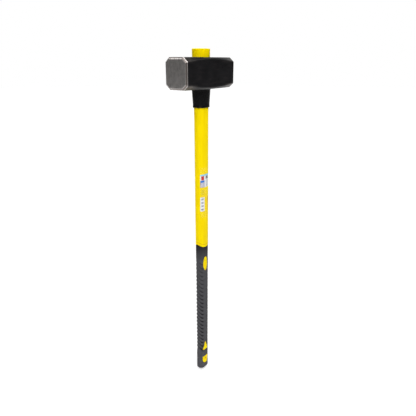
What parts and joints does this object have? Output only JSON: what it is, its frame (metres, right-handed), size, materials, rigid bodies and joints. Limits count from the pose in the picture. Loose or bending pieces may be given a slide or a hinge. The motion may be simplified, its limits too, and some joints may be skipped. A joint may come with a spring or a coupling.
{
  "type": "sledgehammer",
  "caption": "Long-handled sledgehammer with an octagonal double-faced steel head, moulded oval handle, eye collar and ribbed rubber grip.",
  "frame": {"origin": "on the handle's centre line, level with the lowest point of the butt", "axes": "+Z along the handle from the butt to the head; X along the head, from one striking face to the other; the labelled side faces -Y"},
  "size_m": [0.171, 0.0666, 0.91],
  "materials": {
    "head_steel": "satin black paint on forged steel, striking faces and their bevels ground bare",
    "resin": "cast amber resin",
    "glass_fibre": "pultruded rod with lengthwise fibres",
    "yellow_plastic": "semi-gloss moulded plastic",
    "black_plastic": "semi-gloss moulded plastic",
    "grip_rubber": "matte moulded rubber with chevron ribs",
    "label_film": "thin printed film"
  },
  "bodies": {
    "root": {"hammer_head": "head_steel", "eye_resin": "resin", "handle_core": "glass_fibre", "handle_jacket": "yellow_plastic", "eye_collar": "black_plastic", "grip_sleeve": "grip_rubber", "product_label": "label_film"}
  },
  "joints": []
}
